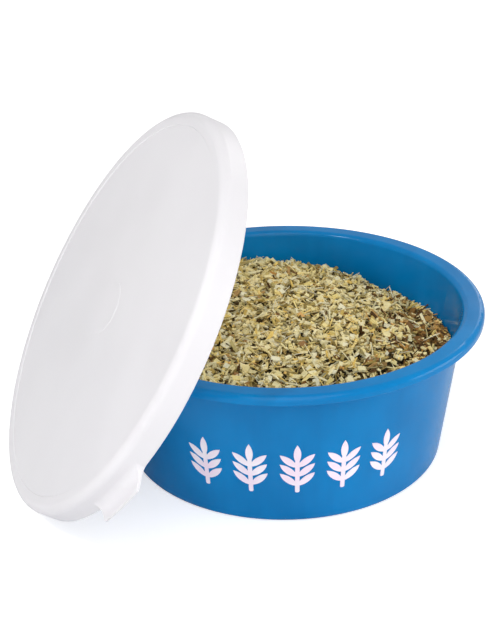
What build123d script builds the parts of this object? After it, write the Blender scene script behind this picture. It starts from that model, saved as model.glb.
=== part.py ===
from build123d import *
import math
import os

# Round feed bowl with a snap lid, which stands beside it and leans on its rim.
# Millimetres, Z up. The origin is the middle of the foot ring, on the ground.
# The lid leans towards -X. The front of the bowl, with its stickers, looks towards -Y.

# Bowl
rim_radius = 150.0
bowl_height = 118.0
bowl_wall = 2.2
bowl_floor = 2.6
base_radius = 120.4
flange_reach = 14.1
mouth_rounding = 4.0
rim_edge_rounding = 4.0
rim_lip_depth = 7.0
flange_root_rounding = 1.2
base_rounding = 4.0
floor_rounding = 7.0
foot_ring_width = 10.0
foot_ring_height = 1.5

# Lid
lid_wall = 1.8
lid_depth = 19.5
lid_draft = 2.0
lid_rim_clearance = 0.3
lid_lip_rounding = 0.6
panel_margin = 5.0
panel_recess = 0.6
gate_pad_radius = 20.0
gate_pad_rise = 0.3
bead_bite = 0.5
bead_height = 3.0
bead_clearance = 0.4

# Thumb tab of the lid, which goes round from the lid's lowest point towards -Y
tab_azimuth = 64.0
tab_reach = 13.2
tab_root_width = 50.0
tab_tip_width = 40.0
tab_thickness = 2.0
tab_low_corner = 2.5
tab_high_corner = 6.0
tab_high_blend = 8.0
tab_root_rounding = 7.0

# Where the lid leans
lid_tilt = 58.1
lid_sideways = 16.0
lean_gap = 0.3

# Feed
feed_gap = 0.3
heap_headroom = 8.5
heap_crown_radius = 1000.0
heap_crown_angle = 5.7
heap_edge_radius = 133.0
heap_edge_drop = 19.5
heap_x = -30.8
heap_y = 29.5
heap_fall = 2.9
heap_fall_azimuth = 33.0

# Foil stickers, a row of sprigs
sprig_count = 5
sprig_pitch = 15.0
sprig_row_azimuth = -103.0
sprig_middle_height = 48.0
foil_thickness = 0.3
stem_length = 28.7
stem_width = 3.2
leaf_length = 16.5
leaf_width = 5.2
leaf_pairs = 3
leaf_spacing = 8.2
leaf_angle = 48.0


def turned(corners):
    """A solid turned about Z from a closed half section of (radius, height, rounding) corners."""
    points = [(radius, height) for radius, height, rounding in corners]
    roundings = [rounding for radius, height, rounding in corners]
    section = make_face(FilletPolyline(*points, radius=roundings, close=True).edges())
    return revolve(Plane.XZ * section, Axis.Z)


# Where the wall meets the flange, and the slope that the wall takes from there to the base
flange_underside = bowl_height - bowl_wall
wall_top_radius = rim_radius - flange_reach
wall_slope = (wall_top_radius - base_radius) / flange_underside


def wall_radius(height):
    """Radius of the bowl's outer face at a height."""
    return base_radius + wall_slope * height


def inner_radius(height):
    """Radius of the bowl's inner face at a height."""
    return wall_radius(height) - bowl_wall


def make_bowl():
    floor_top = foot_ring_height + bowl_floor
    foot_inner_radius = base_radius - base_rounding - foot_ring_width
    lip_bottom = bowl_height - rim_lip_depth
    lip_inner_radius = rim_radius - bowl_wall
    lip_end_rounding = bowl_wall * 0.4
    return turned([
        (0, foot_ring_height, 0),
        (foot_inner_radius, foot_ring_height, 0),
        (foot_inner_radius, 0, 0),
        (base_radius, 0, base_rounding),
        (wall_top_radius, flange_underside, flange_root_rounding),
        (lip_inner_radius, flange_underside, max(rim_edge_rounding - bowl_wall, 0)),
        (lip_inner_radius, lip_bottom, lip_end_rounding),
        (rim_radius, lip_bottom, lip_end_rounding),
        (rim_radius, bowl_height, rim_edge_rounding),
        (inner_radius(bowl_height), bowl_height, mouth_rounding),
        (inner_radius(floor_top), floor_top, floor_rounding),
        (0, floor_top, 0),
    ])


# The lid is drawn with its lip in the plane z = 0 and its face upwards, and its corner
# follows the rim's edge, so that it seats on the rim when it is on
skirt_top_radius = rim_radius + lid_rim_clearance + lid_wall
skirt_flare = math.tan(math.radians(lid_draft))
lid_lip_radius = skirt_top_radius + lid_depth * skirt_flare
lid_rounding = rim_edge_rounding + lid_rim_clearance + lid_wall
panel_radius = skirt_top_radius - lid_rounding - panel_margin
lid_inside_depth = lid_depth - lid_wall


def skirt_inner_radius(height):
    """Radius of the skirt's inner face at a height over the lip."""
    return lid_lip_radius - lid_wall - height * skirt_flare


def make_cap():
    # The snap bead sits under the rim's lip when the lid is on
    bead_top = lid_inside_depth - rim_lip_depth - bead_clearance
    bead_middle = bead_top - bead_height / 2
    bead_bottom = bead_top - bead_height
    bead_radius = rim_radius - bead_bite
    gate_pad_top = lid_depth - panel_recess + gate_pad_rise
    small_rounding = gate_pad_rise * 0.5
    return turned([
        (0, lid_inside_depth, 0),
        (skirt_inner_radius(lid_inside_depth), lid_inside_depth, lid_rounding - lid_wall),
        (skirt_inner_radius(bead_top), bead_top, 0),
        (bead_radius, bead_middle, bead_height / 4),
        (skirt_inner_radius(bead_bottom), bead_bottom, 0),
        (skirt_inner_radius(0), 0, lid_lip_rounding),
        (lid_lip_radius, 0, lid_lip_rounding),
        (skirt_top_radius, lid_depth, lid_rounding),
        (panel_radius, lid_depth, panel_recess / 2),
        (panel_radius - panel_recess, lid_depth - panel_recess, panel_recess / 2),
        (gate_pad_radius, lid_depth - panel_recess, small_rounding),
        (gate_pad_radius - gate_pad_rise, gate_pad_top, small_rounding),
        (0, gate_pad_top, 0),
    ])


def make_tab():
    # A lug at the lip, blended into the skirt by a hollow on its upper side
    buried_radius = lid_lip_radius - lid_wall / 2
    tip_radius = lid_lip_radius + tab_reach
    root_top = tab_thickness + tab_root_rounding
    root_radius = lid_lip_radius - root_top * skirt_flare
    section = turned([
        (buried_radius, 0, 0),
        (tip_radius, 0, 0),
        (tip_radius, tab_thickness, tab_thickness * 0.4),
        (root_radius, tab_thickness, tab_root_rounding),
        (root_radius, root_top, 0),
        (buried_radius, root_top, 0),
    ])
    # The side that is higher where the lid leans runs into the lip in a wide curve
    root_side = tab_root_width / 2
    tip_side = tab_tip_width / 2
    root_angle = math.asin(root_side / lid_lip_radius)
    blend_end = root_angle + 2 * tab_high_blend / lid_lip_radius
    inside_radius = buried_radius - tab_reach
    outline = FilletPolyline(
        (inside_radius, -root_side),
        (lid_lip_radius * math.cos(root_angle), -root_side),
        (tip_radius, -tip_side),
        (tip_radius, tip_side),
        (lid_lip_radius * math.cos(root_angle), root_side),
        (buried_radius * math.cos(blend_end), buried_radius * math.sin(blend_end)),
        (inside_radius, buried_radius * math.sin(blend_end)),
        radius=[0, 0, tab_low_corner, tab_high_corner, tab_high_blend, 0, 0],
        close=True,
    )
    plan = extrude(make_face(outline.edges()), amount=root_top)
    # The lid's lowest point is at half a turn from its own X axis
    return Rot(0, 0, 180 + tab_azimuth) * (section & plan)


def lid_place():
    """The plane of the lip where the lid leans: lip on the ground, underside at the rim."""
    sine = math.sin(math.radians(lid_tilt))
    cosine = math.cos(math.radians(lid_tilt))
    # How far the rounded rim reaches along the lid's outward normal
    rim_edge_reach = (rim_radius - rim_edge_rounding) * sine
    rim_edge_reach += (bowl_height - rim_edge_rounding) * cosine + rim_edge_rounding
    middle_height = lid_lip_radius * sine
    middle_x = (rim_edge_reach + lean_gap - lid_inside_depth - middle_height * cosine) / sine
    return Plane(
        origin=(-middle_x, -lid_sideways, middle_height),
        x_dir=(cosine, 0, sine),
        z_dir=(-sine, 0, cosine),
    )


def make_lid():
    return lid_place() * (make_cap() + make_tab())


def make_feed():
    # What fills the bowl, under a heap that leans away from the lid
    bottom = foot_ring_height + bowl_floor + feed_gap
    fill = turned([
        (0, bottom, 0),
        (inner_radius(bottom) - feed_gap, bottom, floor_rounding),
        (inner_radius(bowl_height) - feed_gap, bowl_height, 0),
        (0, bowl_height, 0),
    ])
    # The heap's crown is nearly flat, its side falls ever more steeply to a flat brim
    crown = bowl_height - heap_headroom
    edge = crown - heap_edge_drop
    reach = rim_radius + math.hypot(heap_x, heap_y)
    top = CenterArc((0, crown - heap_crown_radius), heap_crown_radius, 90, -heap_crown_angle)
    side = TangentArc(top @ 1, (heap_edge_radius, edge), tangent=top % 1)
    rest = Polyline(side @ 1, (reach, edge), (reach, -reach), (0, -reach), (0, crown))
    half = make_face(top.edges() + side.edges() + rest.edges())
    heap = revolve(Plane.XZ * half, Axis.Z)
    pivot = Pos(heap_x, heap_y, crown)
    lean = Rot(0, 0, heap_fall_azimuth) * Rot(0, heap_fall, 0) * Rot(0, 0, -heap_fall_azimuth)
    return fill & (pivot * lean * Pos(0, 0, -crown) * heap)


def leaf():
    """A pointed leaf that grows along +Y from the origin."""
    tip = (0, leaf_length)
    half = leaf_width / 2
    middle = leaf_length / 2
    edges = ThreePointArc((0, 0), (half, middle), tip).edges()
    edges += ThreePointArc(tip, (-half, middle), (0, 0)).edges()
    return make_face(edges)


def make_sprig():
    # Leaves in pairs up a stem, with one at its top, cut from foil that lies on the wall
    foot = -(stem_length + leaf_length - stem_width) / 2
    stem_middle = foot + stem_length / 2
    shape = Pos(0, stem_middle) * RectangleRounded(stem_width, stem_length, stem_width * 0.4)
    shape += Pos(0, foot + stem_length - stem_width) * leaf()
    for pair in range(leaf_pairs):
        height = foot + stem_length - stem_width - pair * leaf_spacing
        for side in (-leaf_angle, leaf_angle):
            shape += Pos(0, height - stem_width) * Rot(0, 0, side) * leaf()
    reach = leaf_length + stem_length
    low = sprig_middle_height - reach
    high = sprig_middle_height + reach
    foil = turned([
        (wall_radius(low), low, 0),
        (wall_radius(low) + foil_thickness, low, 0),
        (wall_radius(high) + foil_thickness, high, 0),
        (wall_radius(high), high, 0),
    ])
    # The outline stands square on the wall at +X, with its foot downwards
    stand = Plane(
        origin=(wall_radius(sprig_middle_height), 0, sprig_middle_height),
        x_dir=(0, 1, 0),
        z_dir=(1, 0, -wall_slope),
    )
    cutter = stand * extrude(shape, amount=bowl_wall * 2, both=True)
    return foil & cutter


os.makedirs("parts", exist_ok=True)
nodes = {"bowl": make_bowl(), "lid": make_lid(), "feed": make_feed()}
first_sprig = make_sprig()
for number in range(sprig_count):
    azimuth = sprig_row_azimuth + (number - (sprig_count - 1) / 2) * sprig_pitch
    nodes[f"sprig_{number + 1}"] = Rot(0, 0, azimuth) * first_sprig
for name, shape in nodes.items():
    export_step(shape, f"parts/{name}.step")
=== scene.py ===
import bpy
import math
import numpy as np
from mathutils import Matrix, Vector


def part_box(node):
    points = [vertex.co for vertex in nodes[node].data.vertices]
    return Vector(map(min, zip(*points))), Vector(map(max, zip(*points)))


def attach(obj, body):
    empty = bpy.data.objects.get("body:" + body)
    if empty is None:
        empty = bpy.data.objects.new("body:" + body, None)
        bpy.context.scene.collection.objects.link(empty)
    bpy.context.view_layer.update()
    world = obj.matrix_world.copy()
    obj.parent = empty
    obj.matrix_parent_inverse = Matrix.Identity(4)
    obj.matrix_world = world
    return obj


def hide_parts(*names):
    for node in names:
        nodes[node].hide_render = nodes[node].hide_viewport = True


# Feed bowl with its lid leaning on the rim, in metres in the frame's own axes.
# The bowl, lid and stickers are the frame's parts; the feed is built here, bit by bit.

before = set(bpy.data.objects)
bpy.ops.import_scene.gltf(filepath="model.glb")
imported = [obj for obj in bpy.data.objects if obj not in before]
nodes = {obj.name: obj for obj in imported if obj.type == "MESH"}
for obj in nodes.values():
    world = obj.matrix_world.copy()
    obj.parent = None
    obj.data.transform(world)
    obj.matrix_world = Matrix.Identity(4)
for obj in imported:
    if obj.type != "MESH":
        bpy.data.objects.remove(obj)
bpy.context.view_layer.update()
mm = 0.001
print("frame loaded:", sorted(nodes))


# Small helpers

def hexToLinear(code, alpha=1.0):
    values = [int(code[i:i + 2], 16) / 255 for i in (1, 3, 5)]
    linear = [v / 12.92 if v <= 0.04045 else ((v + 0.055) / 1.055) ** 2.4 for v in values]
    return (*linear, alpha)


def addNode(tree, kind, settings=None, **inputs):
    # an input is a plain value or the socket that feeds it; a number picks a socket by place
    node = tree.nodes.new(kind)
    for key, value in (settings or {}).items():
        setattr(node, key, value)
    for key, value in inputs.items():
        place = int(key[2:]) if key.startswith("in") and key[2:].isdigit() else key.replace("_", " ")
        if isinstance(value, bpy.types.NodeSocket):
            tree.links.new(value, node.inputs[place])
        else:
            node.inputs[place].default_value = value
    return node


def newMaterial(name):
    material = bpy.data.materials.new(name)
    material.use_nodes = True
    material.node_tree.nodes.clear()
    return material, material.node_tree


def finishMaterial(tree, shader):
    output = addNode(tree, "ShaderNodeOutputMaterial")
    tree.links.new(shader.outputs[0], output.inputs["Surface"])


def paint(node, material):
    mesh = nodes[node].data
    mesh.materials.clear()
    mesh.materials.append(material)


def perMetre(size):
    # a noise has about one feature per unit, so this is the scale for features of that many mm
    return 1 / (size * mm)


def addNoise(tree, place, size, **inputs):
    return addNode(tree, "ShaderNodeTexNoise", Vector=place, Scale=perMetre(size), **inputs)


def addBump(tree, height, depth, **inputs):
    return addNode(tree, "ShaderNodeBump", Height=height, Distance=depth * mm, **inputs)


def softRamp(tree, factor, low, high, lowAt=0.3, highAt=0.7):
    ramp = addNode(tree, "ShaderNodeValToRGB", Fac=factor)
    ramp.color_ramp.interpolation = "EASE"
    ramp.color_ramp.elements[0].position = lowAt
    ramp.color_ramp.elements[0].color = low
    ramp.color_ramp.elements[1].position = highAt
    ramp.color_ramp.elements[1].color = high
    return ramp.outputs["Color"]


def grey(value):
    return (value, value, value, 1.0)


# Bowl: blue polypropylene, injection moulded

bowlLook = {
    "lightBlue": "#0082c5",
    "deepBlue": "#0077b8",
    "cloudSize": 55.0,
    "streakSize": 9.0,
    "streakStretch": 0.12,
    "streakShare": 0.35,
    "blueRange": (0.45, 0.9),
    "peelSize": 1.1,
    "peelDepth": 0.012,
    "swellSize": 38.0,
    "swellDepth": 0.25,
    "roughness": 0.15,
    "dullRoughness": 0.25,
    "scuffSize": 14.0,
    "scuffRange": (0.4, 0.75),
    "gloss": 0.21,
    "ior": 1.49,
}


def bowlMaterial(look):
    # Pigmented polypropylene takes a satin gloss from the polished tool, with faint flow
    # streaks up the wall and a slight orange peel, so highlights are soft edged.
    material, tree = newMaterial("mouldedPolypropyleneBlue")
    place = addNode(tree, "ShaderNodeTexCoord").outputs["Object"]
    clouds = addNoise(tree, place, look["cloudSize"], Detail=2.0)
    drawn = addNode(tree, "ShaderNodeMapping", Vector=place, Scale=(1, 1, look["streakStretch"]))
    streaks = addNoise(tree, drawn.outputs[0], look["streakSize"], Detail=3.0)
    mixed = addNode(tree, "ShaderNodeMath", {"operation": "MULTIPLY_ADD"}, in0=streaks.outputs["Fac"],
                    in1=look["streakShare"], in2=clouds.outputs["Fac"])
    colour = softRamp(tree, mixed.outputs[0], hexToLinear(look["deepBlue"]),
                      hexToLinear(look["lightBlue"]), *look["blueRange"])
    scuffs = addNoise(tree, place, look["scuffSize"], Detail=5.0, Roughness=0.7)
    dull = softRamp(tree, scuffs.outputs["Fac"], grey(look["roughness"]), grey(look["dullRoughness"]),
                    *look["scuffRange"])
    peel = addNoise(tree, place, look["peelSize"], Detail=1.0)
    swell = addNoise(tree, place, look["swellSize"], Detail=0.0)
    waves = addBump(tree, swell.outputs["Fac"], look["swellDepth"])
    fine = addBump(tree, peel.outputs["Fac"], look["peelDepth"], Normal=waves.outputs[0])
    shader = addNode(tree, "ShaderNodeBsdfPrincipled", Base_Color=colour, Roughness=dull, IOR=look["ior"],
                     Specular_IOR_Level=look["gloss"], Normal=fine.outputs[0])
    finishMaterial(tree, shader)
    return material


paint("bowl", bowlMaterial(bowlLook))
print("bowl painted")


# Lid: white low density polyethylene, injection moulded

lidLook = {
    "white": "#eae8eb",
    "shade": "#e7e5e8",
    "cloudSize": 70.0,
    "waxSize": 2.2,
    "waxDepth": 0.02,
    "warpSize": 60.0,
    "warpDepth": 0.3,
    "roughness": 0.4,
    "dullRoughness": 0.48,
    "gloss": 0.3,
    "ior": 1.51,
    "glowWeight": 0.25,
    "glowDepth": (3.0, 2.8, 3.0),
}


def lidMaterial(look):
    # Soft natural polyethylene looks waxy: light goes in a few mm and comes out again, and
    # the thin face warps a little as it cools, which shows as slow shading over the disc.
    material, tree = newMaterial("mouldedPolyethyleneWhite")
    place = addNode(tree, "ShaderNodeTexCoord").outputs["Object"]
    clouds = addNoise(tree, place, look["cloudSize"], Detail=1.0)
    colour = softRamp(tree, clouds.outputs["Fac"], hexToLinear(look["shade"]), hexToLinear(look["white"]))
    wax = addNoise(tree, place, look["waxSize"], Detail=3.0)
    dull = softRamp(tree, wax.outputs["Fac"], grey(look["roughness"]), grey(look["dullRoughness"]))
    warp = addNoise(tree, place, look["warpSize"], Detail=0.0)
    slow = addBump(tree, warp.outputs["Fac"], look["warpDepth"])
    fine = addBump(tree, wax.outputs["Fac"], look["waxDepth"], Normal=slow.outputs[0])
    shader = addNode(tree, "ShaderNodeBsdfPrincipled", Base_Color=colour, Roughness=dull, IOR=look["ior"],
                     Specular_IOR_Level=look["gloss"], Subsurface_Weight=look["glowWeight"],
                     Subsurface_Radius=look["glowDepth"], Subsurface_Scale=mm, Normal=fine.outputs[0])
    finishMaterial(tree, shader)
    return material


paint("lid", lidMaterial(lidLook))
print("lid painted")


# Stickers: pale vinyl foil, plotter cut

stickerLook = {
    "pale": "#fff6fd",
    "blush": "#ffeaf9",
    "cloudSize": 22.0,
    "grainSize": 0.8,
    "grainDepth": 0.01,
    "roughness": 0.38,
    "ior": 1.53,
}


def stickerMaterial(look):
    # Calendered vinyl has an even, slightly glossy skin with a very fine grain.
    material, tree = newMaterial("calenderedVinylPink")
    place = addNode(tree, "ShaderNodeTexCoord").outputs["Object"]
    clouds = addNoise(tree, place, look["cloudSize"], Detail=1.0)
    colour = softRamp(tree, clouds.outputs["Fac"], hexToLinear(look["blush"]), hexToLinear(look["pale"]))
    grain = addNoise(tree, place, look["grainSize"], Detail=1.0)
    fine = addBump(tree, grain.outputs["Fac"], look["grainDepth"])
    shader = addNode(tree, "ShaderNodeBsdfPrincipled", Base_Color=colour, Roughness=look["roughness"],
                     IOR=look["ior"], Normal=fine.outputs[0])
    finishMaterial(tree, shader)
    return material


foil = stickerMaterial(stickerLook)
for name in nodes:
    if name.startswith("sprig"):
        paint(name, foil)
print("stickers painted")


# Feed: a heap of chopped herbs, straw and cream coloured pith, in millimetres until it is meshed

heap = {
    "middle": (-26.0, 27.5),
    "brim": 87.2,
    "rise": 19.5,
    "riseRadius": 132.0,
    "roundness": 0.4,
    "slope": 0.0507,
    "slopeAzimuth": 33.0,
    "clumpSize": 24.0,
    "clumpHeight": 2.0,
    "wallGap": 0.6,
    "bedDrop": 3.4,
    "rings": 64,
    "spokes": 192,
}

lowFeed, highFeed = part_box("feed")
feedBottom = lowFeed[2] / mm
feedTopRadius = highFeed[1] / mm
bowlTaper = 0.1338          # how much the wall widens for each unit of height
feedTopHeight = 100.0       # about where the feed meets the wall, on average


def wallRadius(z):
    return feedTopRadius + (z - feedTopHeight) * bowlTaper


def smoothNoise(x, y, size, seed):
    # a few crossed waves of random direction and phase, which repeat nowhere in the bowl
    rng = np.random.default_rng(seed)
    total = np.zeros_like(x)
    waves = 9
    for _ in range(waves):
        angle = rng.uniform(0, math.tau)
        length = size * rng.uniform(0.7, 1.8)
        along = (x * math.cos(angle) + y * math.sin(angle)) * math.tau / length
        total += np.sin(along + rng.uniform(0, math.tau))
    return total / math.sqrt(waves)


def heapHeight(x, y):
    dx, dy = x - heap["middle"][0], y - heap["middle"][1]
    reach = np.hypot(dx, dy)
    lean = math.radians(heap["slopeAzimuth"])
    inside = np.maximum(1 - (reach / heap["riseRadius"]) ** 2, 0)
    z = heap["brim"] + heap["rise"] * inside ** heap["roundness"]
    z = z - heap["slope"] * (dx * math.cos(lean) + dy * math.sin(lean))
    return z + heap["clumpHeight"] * 0.5 * smoothNoise(x, y, heap["clumpSize"], 3)


def heapNormal(x, y):
    step = 1.5
    gx = (heapHeight(x + step, y) - heapHeight(x - step, y)) / (2 * step)
    gy = (heapHeight(x, y + step) - heapHeight(x, y - step)) / (2 * step)
    normal = np.stack([-gx, -gy, np.ones_like(gx)], -1)
    return normal / np.linalg.norm(normal, axis=-1, keepdims=True)


def newMesh(name, points, faces, material, smooth=False):
    mesh = bpy.data.meshes.new(name)
    mesh.from_pydata([tuple(p) for p in np.asarray(points) * mm], [], [tuple(f) for f in faces])
    mesh.materials.append(material)
    mesh.polygons.foreach_set("use_smooth", [smooth] * len(mesh.polygons))
    mesh.update()
    piece = bpy.data.objects.new(name, mesh)
    bpy.context.scene.collection.objects.link(piece)
    return piece


# The bed's colours are painted shade: darker than the bits, so the gaps between them read dark.
bedLook = {
    "dark": "#2a2314",
    "mid": "#6b5c36",
    "crumbSize": 2.6,
    "crumbDepth": 1.2,
    "toneRange": (0.2, 0.9),
    "roughness": 0.9,
    "ior": 1.45,
}


def bedMaterial(look):
    # What shows between the bits is finer dust of the same herbs, coloured far darker than they are:
    # painted shade for the gaps down among them.
    material, tree = newMaterial("choppedHerbDust")
    place = addNode(tree, "ShaderNodeTexCoord").outputs["Object"]
    crumbs = addNode(tree, "ShaderNodeTexVoronoi", Vector=place, Scale=perMetre(look["crumbSize"]))
    colour = softRamp(tree, crumbs.outputs["Color"], hexToLinear(look["dark"]), hexToLinear(look["mid"]),
                      *look["toneRange"])
    lumps = addBump(tree, crumbs.outputs["Distance"], look["crumbDepth"])
    shader = addNode(tree, "ShaderNodeBsdfPrincipled", Base_Color=colour, Roughness=look["roughness"],
                     IOR=look["ior"], Normal=lumps.outputs[0])
    finishMaterial(tree, shader)
    return material


def makeBed():
    # a closed body: rings over the heap, then down the wall, then in over the bowl's floor
    angles = np.arange(heap["spokes"]) * math.tau / heap["spokes"]
    rows = []
    for ring in range(1, heap["rings"] + 1):
        share = ring / heap["rings"]
        radius = np.full_like(angles, feedTopRadius)
        for _ in range(4):      # the wall's radius depends on the height, so it is found by steps
            x, y = radius * share * np.cos(angles), radius * share * np.sin(angles)
            radius = wallRadius(heapHeight(x, y) - heap["bedDrop"]) - heap["wallGap"]
        x, y = radius * share * np.cos(angles), radius * share * np.sin(angles)
        rows.append(np.stack([x, y, heapHeight(x, y) - heap["bedDrop"]], -1))
    edge = rows[-1]
    floorRounding = 8.0
    for share in (0.75, 0.5, 0.25, 0.0):
        z = feedBottom + floorRounding + (edge[:, 2] - feedBottom - floorRounding) * share
        radius = wallRadius(z) - heap["wallGap"]
        rows.append(np.stack([radius * np.cos(angles), radius * np.sin(angles), z], -1))
    foot = wallRadius(feedBottom + floorRounding) - heap["wallGap"] - floorRounding
    for turn in (30, 60, 90):
        out = foot + floorRounding * math.cos(math.radians(turn))
        z = feedBottom + floorRounding * (1 - math.sin(math.radians(turn)))
        rows.append(np.stack([out * np.cos(angles), out * np.sin(angles), np.full_like(angles, z)], -1))
    crown = float(heapHeight(np.zeros(1), np.zeros(1))[0]) - heap["bedDrop"]
    points = np.concatenate([*rows, [[0, 0, crown]], [[0, 0, feedBottom]]])
    count, spokes = len(rows), heap["spokes"]
    top, bottom = count * spokes, count * spokes + 1
    faces = []
    for k in range(spokes):
        n = (k + 1) % spokes
        faces.append((top, k, n))
        faces.extend((r * spokes + k, (r + 1) * spokes + k, (r + 1) * spokes + n, r * spokes + n)
                     for r in range(count - 1))
        faces.append((bottom, (count - 1) * spokes + n, (count - 1) * spokes + k))
    return newMesh("feedBed", points, faces, bedMaterial(bedLook), smooth=True)


feedBed = makeBed()
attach(feedBed, "bowl")
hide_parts("feed")
print("feed bed built")


# The bits: each kind gives its count, sizes in mm, how many degrees it tips out of the heap's
# surface, how deep and how high it lies, its colours, and how much darker and lighter than
# these it gets, as powers of e. Widths are shares of the length, and so is a chunk's thickness;
# a stick's is a share of its width, and a flake's is in mm.
# The darkest kind lies lowest and the palest ones highest, so part of the shade down between the bits is
# painted into their colours.
bitKinds = {
    # dark herb flakes, all below the heap's surface: their darkness is partly the herb's own and partly
    # painted shade in the gaps
    "feedDarkFlakes": {
        "shape": "flake", "count": 4200,
        "length": (3.0, 6.8), "width": (0.35, 0.65), "thick": (0.3, 0.7),
        "curl": 0.35, "tip": 30, "lift": (-3.0, -0.2), "seed": 11, "shades": (-1.2, 0.9),
        "colours": ["#46381b", "#5b4a27", "#735d32", "#826a38", "#3a2f18", "#68502c"],
    },
    "feedHerbFlakes": {
        "shape": "flake", "count": 5800,
        "length": (3.0, 6.9), "width": (0.3, 0.62), "thick": (0.3, 0.7),
        "curl": 0.4, "tip": 33, "lift": (-2.0, 0.6), "seed": 12, "shades": (-1.2, 1.2),
        "colours": ["#b09656", "#c9b068", "#927a46", "#dec57c", "#b99c52", "#77653c", "#ecd690"],
    },
    "feedStraw": {
        "shape": "stick", "count": 3600,
        "length": (4.2, 11.8), "width": (0.13, 0.25), "thick": (0.35, 0.65),
        "curl": 0.08, "tip": 26, "lift": (-1.4, 0.9), "seed": 13, "shades": (-0.9, 0.7),
        "colours": ["#f2de92", "#fdebaa", "#dec474", "#fff5c2", "#caae60", "#f7e39c"],
    },
    "feedPith": {
        "shape": "chunk", "count": 1500,
        "length": (3.2, 7.6), "width": (0.5, 0.9), "thick": (0.2, 0.4),
        "curl": 0.0, "tip": 26, "lift": (-0.6, 1.0), "seed": 14, "shades": (-0.2, 0.6),
        "colours": ["#fff3be", "#fae9a4", "#fff8d2", "#f3de8e", "#ffefb0"],
    },
    "feedWisps": {
        "shape": "stick", "count": 420,
        "length": (9.0, 20.0), "width": (0.03, 0.055), "thick": (0.6, 1.0),
        "curl": 0.1, "tip": 26, "lift": (0.0, 1.6), "seed": 15, "shades": (-0.4, 0.6),
        "colours": ["#f0e6b8", "#e0d096", "#f8f0d0", "#d0be84"],
    },
}
bitLimit = "#fdf4ce"        # the palest that a bit gets
brownBits = {
    "colours": ["#946c36", "#6c4c26", "#b38a4c", "#50391e", "#c49c60", "#7e5e38"],
    "azimuth": -22.0,
    "from": 60.0,
    "to": 130.0,
    "most": 0.7,
    "least": 0.05,
}
bitLook = {
    "mottleSize": 0.9,
    "mottleShade": 0.75,
    "mottleRange": (0.25, 0.48),
    "ridgeDepth": 0.12,
    "roughness": 0.75,
    "gloss": 0.2,
    "ior": 1.45,
}


def bitMaterial(name, look):
    # Dry plant matter is matt with a fine mottle; each bit has one tone of its own, held on
    # the mesh, and the mottle darkens it in places.
    material, tree = newMaterial(name)
    tone = addNode(tree, "ShaderNodeAttribute", {"attribute_name": "bitTone"}).outputs["Color"]
    place = addNode(tree, "ShaderNodeTexCoord").outputs["Object"]
    mottle = addNoise(tree, place, look["mottleSize"], Detail=2.0, Roughness=0.6)
    shade = softRamp(tree, mottle.outputs["Fac"], grey(look["mottleShade"]), grey(1.0),
                     *look["mottleRange"])
    colour = addNode(tree, "ShaderNodeMixRGB", {"blend_type": "MULTIPLY"}, Fac=1.0, Color1=tone,
                     Color2=shade)
    ridges = addBump(tree, mottle.outputs["Fac"], look["ridgeDepth"])
    shader = addNode(tree, "ShaderNodeBsdfPrincipled", Base_Color=colour.outputs[0],
                     Roughness=look["roughness"], IOR=look["ior"], Specular_IOR_Level=look["gloss"],
                     Normal=ridges.outputs[0])
    finishMaterial(tree, shader)
    return material


def flakeShape(kind, rng, count):
    # an uneven six sided lens: an outline that curls up at its ends, and a middle on either side
    length = rng.uniform(*kind["length"], count)
    width = length * rng.uniform(*kind["width"], count)
    thick = rng.uniform(*kind["thick"], count)
    corners = 6
    angle = np.arange(corners) * math.tau / corners + rng.uniform(-0.35, 0.35, (count, corners))
    out = rng.uniform(0.65, 1.0, (count, corners))
    x = np.cos(angle) * out * length[:, None] / 2
    y = np.sin(angle) * out * width[:, None] / 2
    curl = rng.uniform(-0.3, 1.0, count)[:, None] * kind["curl"]
    twist = rng.uniform(-0.5, 0.5, count)[:, None] * kind["curl"]
    z = curl * (2 * x) ** 2 / (2 * length[:, None]) + twist * 4 * x * y / length[:, None]
    rim = np.stack([x, y, z], -1)
    top = np.zeros((count, 1, 3))
    top[:, 0, 2] = thick / 2
    bottom = -top
    points = np.concatenate([rim, top, bottom], 1)
    faces = [(k, (k + 1) % corners, corners) for k in range(corners)]
    faces += [((k + 1) % corners, k, corners + 1) for k in range(corners)]
    return points, faces


def stickShape(kind, rng, count):
    # a four sided stem in three lengths, bent and a little tapered
    length = rng.uniform(*kind["length"], count)[:, None]
    width = length * rng.uniform(*kind["width"], count)[:, None]
    thick = width * rng.uniform(*kind["thick"], count)[:, None]
    bend = rng.uniform(-1, 1, count)[:, None] * kind["curl"] * length
    sway = rng.uniform(-1, 1, count)[:, None] * kind["curl"] * length
    taper = rng.uniform(0.55, 1.0, count)[:, None]
    rings = []
    for step in (-1.0, -0.35, 0.35, 1.0):
        fat = 1 - (1 - taper) * (step + 1) / 2
        x = length / 2 * step
        arch = 1 - step * step
        for side, up in ((-1, -1), (1, -1), (1, 1), (-1, 1)):
            rings.append(np.concatenate([x, sway * arch + side * width / 2 * fat,
                                         bend * arch + up * thick / 2 * fat], 1))
    points = np.stack(rings, 1)
    faces = [(3, 2, 1, 0), (12, 13, 14, 15)]
    faces += [(4 * r + k, 4 * r + (k + 1) % 4, 4 * r + 4 + (k + 1) % 4, 4 * r + 4 + k)
              for r in range(3) for k in range(4)]
    return points, faces


def chunkShape(kind, rng, count):
    # a small block of pith with every corner off square
    length = rng.uniform(*kind["length"], count)
    width = length * rng.uniform(*kind["width"], count)
    thick = length * rng.uniform(*kind["thick"], count)
    size = np.stack([length, width, thick], -1)[:, None, :] / 2
    around = ((-1, -1), (1, -1), (1, 1), (-1, 1))
    signs = np.array([(x, y, z) for z in (-1, 1) for x, y in around], float)
    points = signs[None] * size * rng.uniform(0.62, 1.0, (count, 8, 3))
    faces = [(3, 2, 1, 0), (4, 5, 6, 7)]
    faces += [(k, (k + 1) % 4, 4 + (k + 1) % 4, 4 + k) for k in range(4)]
    return points, faces


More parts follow.
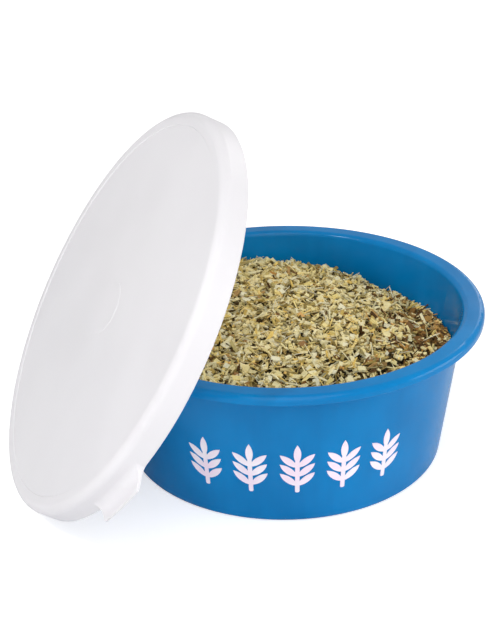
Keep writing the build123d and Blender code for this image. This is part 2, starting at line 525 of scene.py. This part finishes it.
def scatter(rng, count):
    # a sunflower's spiral covers the disc evenly, and a little jitter hides its arms
    turn = math.pi * (3 - math.sqrt(5))
    number = rng.permutation(count) + 0.5
    radius = np.sqrt(number / count)
    angle = number * turn
    spread = feedTopRadius / math.sqrt(count)
    x = radius * np.cos(angle) * feedTopRadius + rng.normal(0, spread, count)
    y = radius * np.sin(angle) * feedTopRadius + rng.normal(0, spread, count)
    far = np.maximum(np.hypot(x, y) / feedTopRadius, 1)
    return x / far, y / far


def turnBits(points, normal, kind, rng):
    # each bit lies on the heap, tipped by a random lean and turned by a random yaw
    count = len(points)
    tip = np.radians(kind["tip"])
    up = normal + rng.normal(0, math.tan(tip), (count, 3))
    up[:, 2] = np.maximum(up[:, 2], 0.15)
    up /= np.linalg.norm(up, axis=1, keepdims=True)
    heading = rng.uniform(0, math.tau, count)
    ahead = np.stack([np.cos(heading), np.sin(heading), np.zeros(count)], -1)
    ahead -= up * (ahead * up).sum(1, keepdims=True)
    ahead /= np.linalg.norm(ahead, axis=1, keepdims=True)
    side = np.cross(up, ahead)
    basis = np.stack([ahead, side, up], 1)
    return np.einsum("nvi,nij->nvj", points, basis)


def bitTones(kind, rng, x, y):
    # one colour for each bit; more of them are brown towards the low side of the heap
    palette = np.array([hexToLinear(code) for code in kind["colours"]])
    browns = np.array([hexToLinear(code) for code in brownBits["colours"]])
    azimuth = math.radians(brownBits["azimuth"])
    along = x * math.cos(azimuth) + y * math.sin(azimuth)
    share = np.clip((along - brownBits["from"]) / (brownBits["to"] - brownBits["from"]), 0, 1)
    chance = brownBits["least"] + (brownBits["most"] - brownBits["least"]) * share
    count = len(x)
    tones = palette[rng.integers(0, len(palette), count)]
    isBrown = rng.random(count) < chance
    tones[isBrown] = browns[rng.integers(0, len(browns), count)][isBrown]
    tones[:, :3] *= np.exp(rng.uniform(*kind["shades"], (count, 1)))
    # what would get lighter than the palest bit turns towards that one's colour
    palest = np.array(hexToLinear(bitLimit)[:3])
    over = np.maximum((tones[:, :3] / palest).max(1, keepdims=True), 1)
    tones[:, :3] = tones[:, :3] / over ** 2 + palest * (1 - 1 / over)
    return tones


def addBakeMap(mesh, count, facesEach):
    # every bit has a square of its own in the map, and every face of it a smaller one
    grid = math.ceil(math.sqrt(count))
    inner = math.ceil(math.sqrt(facesEach))
    loops = np.zeros(len(mesh.loops), int)
    corner = np.zeros(len(mesh.loops), int)
    starts = np.zeros(len(mesh.polygons), int)
    totals = np.zeros(len(mesh.polygons), int)
    mesh.polygons.foreach_get("loop_start", starts)
    mesh.polygons.foreach_get("loop_total", totals)
    for k in range(4):
        here = totals > k
        loops[starts[here] + k] = np.nonzero(here)[0]
        corner[starts[here] + k] = k
    bit, face = loops // facesEach, loops % facesEach
    square = np.array([(0.1, 0.1), (0.9, 0.1), (0.9, 0.9), (0.1, 0.9)])[corner]
    u = (bit % grid + (face % inner + square[:, 0]) / inner) / grid
    v = (bit // grid + (face // inner + square[:, 1]) / inner) / grid
    layer = mesh.uv_layers.new(name="OFBake")
    layer.data.foreach_set("uv", np.stack([u, v], -1).ravel())


def makeBits(name, kind):
    rng = np.random.default_rng(kind["seed"])
    count = kind["count"]
    shapes = {"flake": flakeShape, "stick": stickShape, "chunk": chunkShape}
    points, faces = shapes[kind["shape"]](kind, rng, count)
    x, y = scatter(rng, count)
    points = turnBits(points, heapNormal(x, y), kind, rng)
    points[:, :, 0] += x[:, None]
    points[:, :, 1] += y[:, None]
    points[:, :, 2] += (heapHeight(x, y) + rng.uniform(*kind["lift"], count))[:, None]
    # bits that would reach into the wall are pulled in from it
    far = np.hypot(points[:, :, 0], points[:, :, 1])
    excess = np.maximum((far - (wallRadius(points[:, :, 2]) - heap["wallGap"])).max(1), 0)
    middle = np.hypot(x, y) + 1e-6
    points[:, :, 0] -= (excess * x / middle)[:, None]
    points[:, :, 1] -= (excess * y / middle)[:, None]
    each = points.shape[1]
    allFaces = [tuple(corner + bit * each for corner in face) for bit in range(count) for face in faces]
    piece = newMesh(name, points.reshape(-1, 3), allFaces, bitMaterial("dried" + name[4:], bitLook))
    tones = np.repeat(bitTones(kind, rng, x, y), each, axis=0)
    attribute = piece.data.color_attributes.new("bitTone", "FLOAT_COLOR", "POINT")
    attribute.data.foreach_set("color", tones.astype(np.float32).ravel())
    addBakeMap(piece.data, count, len(faces))
    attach(piece, "bowl")
    print(name, "built:", count)
    return piece


for name, kind in bitKinds.items():
    makeBits(name, kind)


# Floor, light and camera

studio = {
    "floorSize": 8.0,
    "floorColour": "#f4f4f5",
    "seenFloorColour": "#e8e7e7",
    "floorLift": 0.59,
    "ambient": 0.52,
    "lamps": {
        "rightSoftbox": {"towards": (1.0, -0.05, 0.08), "distance": 1.9, "size": 1.3, "power": 13.4},
        "frontSoftbox": {"towards": (0.0, -0.96, 0.26), "distance": 2.0, "size": 1.6, "power": 5.4},
        "leftSoftbox": {"towards": (-0.47, -0.45, 0.74), "distance": 1.7, "size": 0.16, "power": 6.4},
        "topSoftbox": {"towards": (0.05, -0.66, 0.75), "distance": 1.8, "size": 1.6, "power": 9.0},
        "backSoftbox": {"towards": (0.44, 0.82, 0.42), "distance": 1.7, "size": 0.75, "power": 3.2},
    },
}
view = {
    "elevation": 28.0,
    "azimuth": -16.69,
    "distance": 1.1034,
    "aim": (0.0, 0.0, 0.06),
    "roll": -0.6,
    "focalPixels": 1433.6,
    "axisPixel": (284.6, 368.5),
    "imageSize": (502, 642),
    "sensor": 36.0,
}


def viewTurn():
    return Matrix.Rotation(math.radians(view["azimuth"]), 3, "Z")


def floorMaterial():
    # Matt white card. The camera alone sees it lifted to white, which keeps the soft shadow
    # but lightens it.
    material, tree = newMaterial("mattCardWhite")
    path = addNode(tree, "ShaderNodeLightPath")
    card = addNode(tree, "ShaderNodeBsdfPrincipled", Base_Color=hexToLinear(studio["floorColour"]),
                   Roughness=1.0, Specular_IOR_Level=0.0)
    seen = addNode(tree, "ShaderNodeBsdfDiffuse", Color=hexToLinear(studio["seenFloorColour"]))
    lift = addNode(tree, "ShaderNodeEmission", Color=(1, 1, 1, 1), Strength=studio["floorLift"])
    both = addNode(tree, "ShaderNodeAddShader", in0=seen.outputs[0], in1=lift.outputs[0])
    mix = addNode(tree, "ShaderNodeMixShader", Fac=path.outputs["Is Camera Ray"], in1=card.outputs[0],
                  in2=both.outputs[0])
    finishMaterial(tree, mix)
    return material


def makeFloor():
    half = studio["floorSize"] / 2 / mm
    corners = [(-half, -half, 0), (half, -half, 0), (half, half, 0), (-half, half, 0)]
    floor = newMesh("floor", corners, [(0, 1, 2, 3)], floorMaterial())


def makeWorld():
    world = bpy.data.worlds.new("studioWorld")
    world.use_nodes = True
    tree = world.node_tree
    tree.nodes.clear()
    path = addNode(tree, "ShaderNodeLightPath")
    strength = addNode(tree, "ShaderNodeMixRGB", Fac=path.outputs["Is Camera Ray"],
                       Color1=grey(studio["ambient"]), Color2=grey(1.0))
    background = addNode(tree, "ShaderNodeBackground", Color=strength.outputs[0], Strength=1.0)
    output = addNode(tree, "ShaderNodeOutputWorld")
    tree.links.new(background.outputs[0], output.inputs["Surface"])
    bpy.context.scene.world = world


def makeLamps():
    for name, lamp in studio["lamps"].items():
        data = bpy.data.lights.new(name, "AREA")
        data.shape = "DISK"
        data.size = lamp["size"]
        data.energy = lamp["power"]
        towards = viewTurn() @ Vector(lamp["towards"]).normalized()
        light = bpy.data.objects.new(name, data)
        light.location = Vector(view["aim"]) + towards * lamp["distance"]
        light.rotation_euler = towards.to_track_quat("Z", "Y").to_euler()
        bpy.context.scene.collection.objects.link(light)


def makeCamera():
    elevation = math.radians(view["elevation"])
    roll = math.radians(view["roll"])
    ahead = Vector((0, math.cos(elevation), -math.sin(elevation)))
    right = Vector((1, 0, 0))
    up = right.cross(ahead)
    turned = Matrix((math.cos(roll) * right + math.sin(roll) * up,
                     math.cos(roll) * up - math.sin(roll) * right, -ahead)).transposed()
    place = viewTurn() @ turned
    eye = Vector(view["aim"]) - view["distance"] * (viewTurn() @ ahead)
    wide, high = view["imageSize"]
    longSide = max(wide, high)
    data = bpy.data.cameras.new("camera")
    data.sensor_width = view["sensor"]
    data.lens = view["focalPixels"] * view["sensor"] / longSide
    data.shift_x = (wide / 2 - view["axisPixel"][0]) / longSide
    data.shift_y = (view["axisPixel"][1] - high / 2) / longSide
    camera = bpy.data.objects.new("camera", data)
    camera.matrix_world = Matrix.Translation(eye) @ place.to_4x4()
    bpy.context.scene.collection.objects.link(camera)
    bpy.context.scene.camera = camera


makeFloor()
makeWorld()
makeLamps()
makeCamera()
bpy.context.scene.view_settings.view_transform = "Standard"
print("studio set")
